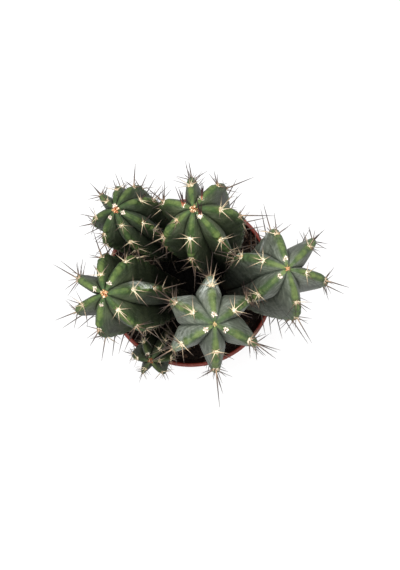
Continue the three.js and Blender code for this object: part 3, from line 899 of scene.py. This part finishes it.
def mound_heap(stems, rng):
    """Bits of bark that are heaped against the pot's wall."""
    x, y, spread, height = MOUND
    places = np.array([x, y, 0]) + rng.normal(0, spread, (MOUND_CHIPS, 3)) * np.array([1, 1, 0])
    away = np.hypot(places[:, 0] - x, places[:, 1] - y) / spread
    rise = height * np.exp(-away ** 2) * rng.uniform(0, 1, MOUND_CHIPS)
    places[:, 2] = soil_height(places[:, 0], places[:, 1]) + rise
    sizes = rng.uniform(*CHIP_RADIUS, (MOUND_CHIPS, 1)) * rng.uniform(0.4, 1.1, (MOUND_CHIPS, 3))
    reach = np.max(sizes, axis=1) * 1.3
    kept = np.hypot(places[:, 0], places[:, 1]) + reach < inner_radius(places[:, 2]) - 0.2
    kept &= ~in_stems(places, stems, 2.6)
    places, sizes = places[kept], sizes[kept]
    axes = np.linalg.qr(rng.standard_normal((len(places), 3, 3)))[0]
    return Heap().add(*lumps(places, axes, sizes, 0.14, rng), tone=rng.uniform(size=len(places)))


def fibre_heap(stems, rng):
    """Root hairs and bits of bark fibre that lie on the peat."""
    heap = Heap()
    steps = len(FIBRE_SHAPE)
    for place in free_places(stems, FIBRES, rng, 1.2):
        heading = rng.uniform(0, FULL_TURN)
        length = rng.uniform(*FIBRE_LENGTH)
        heading = heading + rng.normal(0, 0.35, steps).cumsum() * 0.6
        run = np.cumsum([np.cos(heading), np.sin(heading)], axis=1)[:, :-1] * length / steps
        x, y = place[:2, None] + np.pad(run, ((0, 0), (1, 0)))
        lift = rng.uniform(0.1, 0.5) + 1.3 * rng.uniform() ** 3 * np.sin(np.linspace(0, math.pi, steps))
        path = np.stack([x, y, soil_height(x, y) + lift], axis=1)
        outside = np.hypot(x, y) > inner_radius(SOIL_LEVEL) - SOIL_EDGE
        if np.any(outside | in_stems(path, stems, 0.4)):
            continue
        radii = rng.uniform(*FIBRE_RADIUS) * FIBRE_SHAPE
        heap.add(*tubes(path[None], radii[None], 5), tone=rng.uniform())
    return heap


# ---- Materials ----

class Value:
    """A node's output; outputs that are numbers can be added and multiplied."""

    def __init__(self, nodes, socket):
        self.nodes, self.socket = nodes, socket

    def __add__(self, other):
        return self.nodes.math("ADD", self, other)

    def __sub__(self, other):
        return self.nodes.math("SUBTRACT", self, other)

    def __mul__(self, other):
        return self.nodes.math("MULTIPLY", self, other)


class Nodes:
    """A small helper that adds nodes to a tree."""

    def __init__(self, tree):
        self.tree = tree

    def feed(self, socket, value):
        if isinstance(value, Value):
            self.tree.links.new(value.socket, socket)
        else:
            socket.default_value = (*value, 1) if socket.type == "RGBA" else value

    def node(self, kind, inputs=(), out=0, **settings):
        """One output of a new node, whose inputs are given by their names or numbers."""
        made = self.tree.nodes.new(f"ShaderNode{kind}")
        for key, value in settings.items():
            setattr(made, key, value)
        for key, value in dict(inputs).items():
            self.feed(made.inputs[key], value)
        return Value(self, made.outputs[out])

    def math(self, operation, a, b):
        return self.node("Math", {0: a, 1: b}, operation=operation)


class Look(Nodes):
    """A material with one principled shader. Grains and places in it are in millimetres."""

    def __init__(self, name, **settings):
        self.material = bpy.data.materials.new(name)
        self.material.use_nodes = True
        super().__init__(self.material.node_tree)
        self.shader = self.tree.nodes["Principled BSDF"].inputs
        for socket, value in settings.items():
            self.feed(self.shader[socket.replace("_", " ")], value)
        self.place = self.node("TexCoord", out="Object")

    def painted(self, *names):
        """The values with these names that the mesh has for each point."""
        return [self.node("Attribute", out="Fac", attribute_name=name) for name in names]

    def stretched(self, scale):
        return self.node("Mapping", {"Vector": self.place, "Scale": scale})

    def height(self):
        return self.node("SeparateXYZ", {0: self.place}, out="Z") * (1 / MM)

    def from_axis(self):
        flatwise = self.stretched((1 / MM, 1 / MM, 0))
        return self.node("VectorMath", {0: flatwise}, out="Value", operation="LENGTH")

    def noise(self, grain, detail=3.0, vector=None):
        """Noise from 0 to 1 whose lumps are about as wide as the grain."""
        inputs = {
            "Vector": vector or self.place, "Scale": 1 / (grain * MM), "Detail": detail,
            "Roughness": 0.55,
        }
        return self.node("TexNoise", inputs)

    def cells(self, grain):
        inputs = {"Vector": self.place, "Scale": 1 / (grain * MM)}
        return self.node("TexVoronoi", inputs, out="Distance")

    def span(self, value, low, high, to_low=0.0, to_high=1.0):
        """Smoothly from to_low where value is low to to_high where it is high."""
        inputs = {
            "Value": value, "From Min": low, "From Max": high, "To Min": to_low, "To Max": to_high,
        }
        return self.node("MapRange", inputs, interpolation_type="SMOOTHSTEP")

    def mix(self, factor, a, b, blend="MIX"):
        inputs = {0: factor, 6: a, 7: b}
        return self.node("Mix", inputs, out=2, data_type="RGBA", blend_type=blend)

    def layers(self, color, *layers):
        """A colour with others over it, each as its share and the colour."""
        for share, over in layers:
            color = self.mix(share, color, over)
        return color

    def dim(self, color, share):
        return self.mix(1.0, color, share, "MULTIPLY")

    def ramp(self, value, stops):
        """Colours along a value, as pairs of a place from 0 to 1 and a colour."""
        made = self.node("ValToRGB", {"Fac": value})
        bar = made.socket.node.color_ramp.elements
        bar.remove(bar[1])
        bar[0].position, bar[0].color = stops[0][0], (*stops[0][1], 1)
        for position, color in stops[1:]:
            bar.new(position).color = (*color, 1)
        return made

    def finish(self, color, roughness, bumps=()):
        """Colour, roughness, and bumps as pairs of a height from 0 to 1 and its size."""
        self.feed(self.shader["Base Color"], color)
        self.feed(self.shader["Roughness"], roughness)
        under = {}
        for height, size in bumps:
            inputs = {"Height": height, "Distance": size * MM, "Strength": 1.0, **under}
            under = {"Normal": self.node("Bump", inputs)}
            self.feed(self.shader["Normal"], under["Normal"])
        return self.material


def skin_look(name, flank, outer_shade_share, wax, wax_share, band, valley):
    """A skin. Flank and band, the green along a crest, have a dark and a light colour each. The valley
    colour is painted shade along the valleys' folds.

    The number after the flanks says how much painted shade darkens the outer flanks of a dome, and the
    green along their crests."""
    look = Look(name, Specular_IOR_Level=0.14)
    mix, span, noise, axis = look.mix, look.span, look.noise, look.from_axis()
    to_crest, to_valley, down, size, rib, bloom = look.painted(
        "to_crest", "to_valley", "down", "size", "rib", "bloom",
    )
    place = look.node("CombineXYZ", {"X": down * 0.08, "Y": to_crest * 0.62, "Z": rib * 3.7})
    streak, fine = noise(1 / MM, detail=5, vector=place), noise(1.7, detail=5)
    # painted shade: on the outer side of the cluster, flanks away from their crests and below the tip
    # dull to a dark olive
    outer_shade_mask = span(axis, 45, 75, 0.12, 1)
    outer_flank_shade = span(down, 8, 35, 0, outer_shade_share) * span(to_crest, 2, 8) * outer_shade_mask * span(down, 110, 50, 0.4, 1)
    half = look.math("MINIMUM", size * 0.15 + 0.6, 2.9)
    beyond = to_crest + (noise(3.4, detail=4) * 4.4 - 2.2) - half
    fade = span(down, 25, 120, 1, 0.3)
    green = look.math("MAXIMUM", span(beyond, -1.6, 1.6, 0.95, 0) * fade, span(size, 8, 3.5))
    # painted highlight: a lighter line along the very top of each crest
    crest_highlight = span(to_crest, 2.2, 0.2) * span(size, 3, 9)
    bright = noise(9, detail=5) * 1.4 + (crest_highlight * 0.14 + streak * 0.7)
    # painted shade: the green along the crests of those outer flanks darkens as well
    shaded = outer_shade_mask * span(down, 8, 30) * (0.5 * outer_shade_share)
    color = look.layers(
        mix(span(noise(20) * 0.75 + streak * 0.55, 0.52, 0.8), *flank),
        (span(streak * 0.6 + noise(8, detail=7), 0.76, 1.02) * wax_share, wax),
        # painted shade: the dark olive of the outer flanks
        (outer_flank_shade, (0.026, 0.028, 0.017)),
        (span(beyond, -0.5, 5, 0.3, 0) * fade, band[0]),
        (green, mix(shaded, mix(span(bright, 0.94, 1.34), *band), (0.045, 0.06, 0.03))),
        # painted shade: a dark colour in each valley's fold
        (span(to_valley, 0, 1.2, 0.66, 0), valley),
        (bloom * span(noise(3, detail=6), 0.36, 0.6) * 0.75, (0.6, 0.64, 0.58)),
    )
    color = look.layers(
        look.dim(color, fine * 0.9 + 0.55),
        (span(look.cells(3.1), 0.1, 0.05) * 0.5, (0.34, 0.33, 0.24)),
        (
            span(noise(9, detail=6) * -130 + look.height(), 115, 45, 0, 0.85),
            mix(fine, (0.05, 0.034, 0.02), (0.2, 0.15, 0.095)),
        ),
        # painted shade: low flanks near the pot's axis, between the stems, turn nearly black
        (span(axis, 44, 26) * span(down, 60, 110) * 0.75, (0.006, 0.007, 0.005)),
    )
    bumps = [(noise(0.7, detail=2), 0.07), (fine, 0.2), (streak, 0.35)]
    return look.finish(color, fine * 0.22 + 0.46, bumps)


def spine_look(fresh, budded):
    look = Look(f"spine_{round(fresh * 10)}_{budded}", Specular_IOR_Level=0.35)
    mix, span = look.mix, look.span
    reach, age, tone, central = look.painted("reach", "age", "tone", "central")
    along = reach + (look.noise(1.6) * 0.3 - 0.15)
    dark, pale, young = (look.ramp(along, stops) for stops in SPINE_COLORS)
    color = look.layers(
        dark,
        (span(central * -0.6 + tone - span(age, 1, 2, 0, 0.4), 0.05, 0.45), pale),
        (span(age, 0.6, 0.42) * fresh, young),
        (span(age, 2, 3.6), mix(tone, (0.022, 0.015, 0.011), (0.11, 0.08, 0.055))),
    )
    if budded:
        spots = span(look.noise(0.9, detail=4), 0.54, 0.7)
        bud = mix(spots, look.ramp(along, BUD_COLORS), (0.4, 0.2, 0.13))
        color = mix(span(age, BUD_AGE + 0.02, BUD_AGE - 0.02), color, bud)
    return look.finish(color, tone * 0.2 + 0.4, [(look.noise(0.8), 0.05)])


def wool_look():
    look = Look("areole_wool", Specular_IOR_Level=0.1)
    age, tone = look.painted("age", "tone")
    patches = look.span(look.noise(0.9, detail=5), 0.4, 0.6)
    color = look.layers(
        look.mix(patches, (0.5, 0.33, 0.15), (0.9, 0.82, 0.62)),
        (look.span(tone, 0.4, 0.9) * 0.5, (0.94, 0.9, 0.8)),
        (look.span(age, 0.46, 0.4, 0, 0.7), (0.9, 0.83, 0.7)),
        (look.span(age, 2, 4), (0.08, 0.065, 0.045)),
    )
    return look.finish(color, 0.9, [(look.noise(0.4), 0.3)])


def tuft_look(rust):
    """Wool on a tip, from straw (rust 0) over red (1) to dark red (above 1), with cream ends."""
    look = Look(f"tip_wool_{round(rust * 100)}", Specular_IOR_Level=0.25)
    reach, tone = look.painted("reach", "tone")
    straw, red, cream = (look.mix(look.span(tone, 0.2, 0.9), *pair) for pair in TUFT_COLORS)
    color = look.layers(
        straw, (min(rust, 1.0), red), (look.span(reach, 0.7, 1.15), cream),
        (max(rust - 1.0, 0.0) * 2, (0.1, 0.035, 0.018)),
    )
    return look.finish(color, 0.8, [(look.noise(0.5), 0.1)])


def pot_look():
    look = Look("terracotta_plastic", Specular_IOR_Level=0.3)
    span, noise, height = look.span, look.noise, look.height()
    cloudy, flow = noise(34, detail=5), noise(5, detail=4, vector=look.stretched((1, 1, 0.06)))
    upright = height * -INSIDE_SLOPE + look.from_axis()
    inside = span(upright, FOOT_RADIUS - 0.4, FOOT_RADIUS - 0.7) * span(height, 4, 6)
    top = POT_HEIGHT - 2 * RIM_ROLL
    # partly a soil stain, partly painted shade: the inner wall just above the peat turns nearly black
    soil_stain_and_shade = span(noise(3.5, detail=6) * 12 + height, top + 7.2, top + 4.2)
    color = look.layers(
        look.mix(span(cloudy, 0.3, 0.7), (0.152, 0.0232, 0.0142), (0.203, 0.0332, 0.0211)),
        (span(flow, 0.55, 0.8) * 0.18, (0.36, 0.1, 0.065)),
        (span(noise(6, detail=8), 0.5, 0.85) * 0.22, (0.36, 0.22, 0.17)),
        (span(height, 30, 0) * span(noise(6, detail=6), 0.4, 0.7) * 0.5, (0.12, 0.07, 0.05)),
        (soil_stain_and_shade * inside * 0.93, (0.012, 0.007, 0.005)),
    )
    scratches = span(look.cells(4.2), 0.03, 0)
    bumps = [(noise(0.9), 0.05), (flow, 0.12), (scratches, 0.05)]
    return look.finish(color, cloudy * 0.25 + 0.38, bumps)


def painted_shade_between_stems(look, color):
    """Painted shade: the peat and what lies on it are darker between the stems than by the pot's wall.
    """
    return look.mix(look.span(look.from_axis(), 30, 52), (0.0022, 0.0016, 0.0012), color)


def peat_look():
    look = Look("peat", Specular_IOR_Level=0.12)
    patches = look.span(look.noise(1.6, detail=6), 0.35, 0.7)
    color = painted_shade_between_stems(look, look.mix(patches, (0.003, 0.002, 0.0015), (0.016, 0.01, 0.007)))
    return look.finish(color, 0.95, [(look.noise(1.1, detail=6), 0.7), (look.noise(0.35), 0.25)])


def debris_look(name, stops):
    look = Look(name, Specular_IOR_Level=0.12)
    tone, = look.painted("tone")
    color = look.dim(painted_shade_between_stems(look, look.ramp(tone, stops)), look.noise(0.8, detail=5) * 0.9 + 0.5)
    return look.finish(color, 0.9, [(look.noise(0.5, detail=4), 0.2)])


def floor_look():
    look = Look(
        "pale_floor", Specular_IOR_Level=0.1, Emission_Color=(1, 1, 1), Emission_Strength=FLOOR_GLOW,
    )
    return look.finish(look.mix(look.noise(180), (0.24, 0.24, 0.24), (0.26, 0.26, 0.26)), 0.85)


SPINE_COLORS = [  # from the foot to the tip, of a dark, a pale and a fresh young spine
    [
        (0.0, (0.26, 0.15, 0.08)), (0.1, (0.38, 0.26, 0.16)), (0.26, (0.13, 0.083, 0.054)),
        (0.5, (0.05, 0.031, 0.024)), (1.0, (0.017, 0.01, 0.009)),
    ], [
        (0.0, (0.42, 0.28, 0.15)), (0.08, (0.82, 0.72, 0.51)), (0.44, (0.5, 0.38, 0.24)),
        (0.7, (0.17, 0.12, 0.085)), (1.0, (0.03, 0.024, 0.02)),
    ], [
        (0.0, (0.5, 0.22, 0.09)), (0.14, (0.3, 0.08, 0.035)), (0.32, (0.05, 0.02, 0.016)),
        (1.0, (0.012, 0.008, 0.009)),
    ],
]
BUD_COLORS = [
    (0.0, (0.5, 0.28, 0.17)), (0.25, (0.85, 0.74, 0.62)), (0.75, (0.9, 0.84, 0.76)),
    (1.0, (0.6, 0.38, 0.29)),
]
TUFT_COLORS = [  # straw, red and cream, each dark and light
    ((0.5, 0.4, 0.16), (0.75, 0.62, 0.36)), ((0.36, 0.085, 0.022), (0.66, 0.22, 0.06)),
    ((0.62, 0.4, 0.2), (0.85, 0.72, 0.52)),
]
# In each skin, the number after the flanks is how much painted shade dulls the outer flanks, and the
# valley colour is painted shade in the folds.
SKINS = {
    "grey_skin": dict(
        flank=((0.079, 0.092, 0.069), (0.157, 0.174, 0.134)), outer_shade_share=0.2,
        wax=(0.24, 0.265, 0.225), wax_share=0.5,
        band=((0.048, 0.08, 0.03), (0.118, 0.16, 0.051)), valley=(0.032, 0.046, 0.029),
    ),
    "green_skin": dict(
        flank=((0.042, 0.058, 0.029), (0.089, 0.109, 0.057)), outer_shade_share=1.35,
        wax=(0.14, 0.16, 0.12), wax_share=0.3,
        band=((0.043, 0.078, 0.025), (0.11, 0.156, 0.045)), valley=(0.008, 0.014, 0.007),
    ),
    # the green skin made darker, as painted shade for the back left stem
    "shaded_green_skin": dict(
        flank=((0.034, 0.048, 0.026), (0.071, 0.089, 0.05)), outer_shade_share=1.2,
        wax=(0.11, 0.13, 0.095), wax_share=0.3,
        band=((0.034, 0.06, 0.02), (0.086, 0.121, 0.037)), valley=(0.007, 0.012, 0.006),
    ),
    # the small stem's skin: a browner green, made darker still as painted shade for a stem under its
    # neighbours
    "shaded_young_skin": dict(
        flank=((0.02, 0.027, 0.0135), (0.043, 0.051, 0.029)), outer_shade_share=0.4,
        wax=(0.07, 0.078, 0.054), wax_share=0.25,
        band=((0.026, 0.04, 0.015), (0.058, 0.074, 0.026)), valley=(0.006, 0.01, 0.005),
    ),
}
CRUMB_COLORS = [
    (0.0, (0.004, 0.0025, 0.002)), (0.5, (0.014, 0.009, 0.006)), (0.8, (0.035, 0.019, 0.011)),
    (1.0, (0.12, 0.07, 0.045)),
]
BARK_COLORS = [
    (0.0, (0.006, 0.004, 0.003)), (0.6, (0.022, 0.012, 0.008)), (1.0, (0.07, 0.035, 0.02)),
]
FIBRE_COLORS = [
    (0.0, (0.012, 0.007, 0.004)), (0.5, (0.04, 0.022, 0.012)), (0.8, (0.13, 0.08, 0.045)),
    (1.0, (0.36, 0.26, 0.16)),
]


# ---- The studio ----

def make_studio():
    """A camera that looks straight down, a soft light overhead, a plain sky and a pale floor."""
    scene = bpy.context.scene
    scene.view_settings.view_transform = "Standard"
    scene.view_settings.look = "None"
    camera = put("camera", bpy.data.cameras.new("camera"))
    camera.data.sensor_width = SENSOR
    camera.data.lens = SENSOR * FOCAL_PIXELS / FRAME_PIXELS
    camera.location = Vector(CAMERA_PLACE) * MM
    scene.camera = camera
    light = put("top_light", bpy.data.lights.new("top_light", "AREA"))
    light.data.energy, light.data.size = TOP_LIGHT_POWER, TOP_LIGHT_SIZE
    light.location = TOP_LIGHT_PLACE
    light.rotation_euler = (Vector(TOP_LIGHT_PLACE) - Vector(AIM)).to_track_quat("Z", "Y").to_euler()
    scene.world = bpy.data.worlds.new("studio")
    scene.world.use_nodes = True
    sky = Nodes(scene.world.node_tree)
    rise = sky.node("SeparateXYZ", {0: sky.node("TexCoord", out="Generated")}, out="Z")
    light_share = sky.node("MapRange", {"Value": rise, "To Min": SKY_LOW, "To Max": SKY_HIGH})
    seen = sky.node("LightPath", out="Is Camera Ray")
    back = sky.tree.nodes["Background"].inputs
    sky.feed(back["Color"], (1, 1, 1))
    sky.feed(back["Strength"], sky.node("Mix", {"Factor": seen, "A": light_share, "B": SKY_SEEN}))
    half = FLOOR_SIZE / 2
    mesh = bpy.data.meshes.new("floor")
    corners = [(-half, -half, 0), (half, -half, 0), (half, half, 0), (-half, half, 0)]
    mesh.from_pydata(corners, [], [(0, 1, 2, 3)])
    mesh.materials.append(floor_look())
    floor = put("floor", mesh)
    floor.location.z = -FLOOR_DROP


# ---- Putting it together ----

make_studio()
stems = [Stem(index, facts) for index, facts in enumerate(STEMS)]
skins = {name: skin_look(name, **facts) for name, facts in SKINS.items()}
wool = wool_look()
for stem in stems:
    rng = np.random.default_rng(100 + stem.index)
    for kind, form, look in (
        ("skin", skin_heap(stem, skin_rows(stem)), skins[stem.skin]),
        ("spines", spine_heap(stem, stems, rng), spine_look(stem.fresh, stem.comb is None)),
        ("wool", wool_heap(stem, rng), wool),
        ("tuft", tuft_heap(stem, rng), tuft_look(stem.rust)),
    ):
        add_piece(f"{stem.name}_{kind}", form, stem.name, look)

add_piece("pot_shell", pot_mesh(), "pot", pot_look())
add_piece("soil_body", soil_mesh(stems), "soil", peat_look())
debris = np.random.default_rng(7)
for name, form, material, stops in (
    ("soil_crumbs", crumb_heap(stems, debris), "peat_crumbs", CRUMB_COLORS),
    ("soil_bark", mound_heap(stems, np.random.default_rng(8)), "bark", BARK_COLORS),
    ("soil_fibres", fibre_heap(stems, debris), "peat_fibres", FIBRE_COLORS),
):
    add_piece(name, form, "soil", debris_look(material, stops))
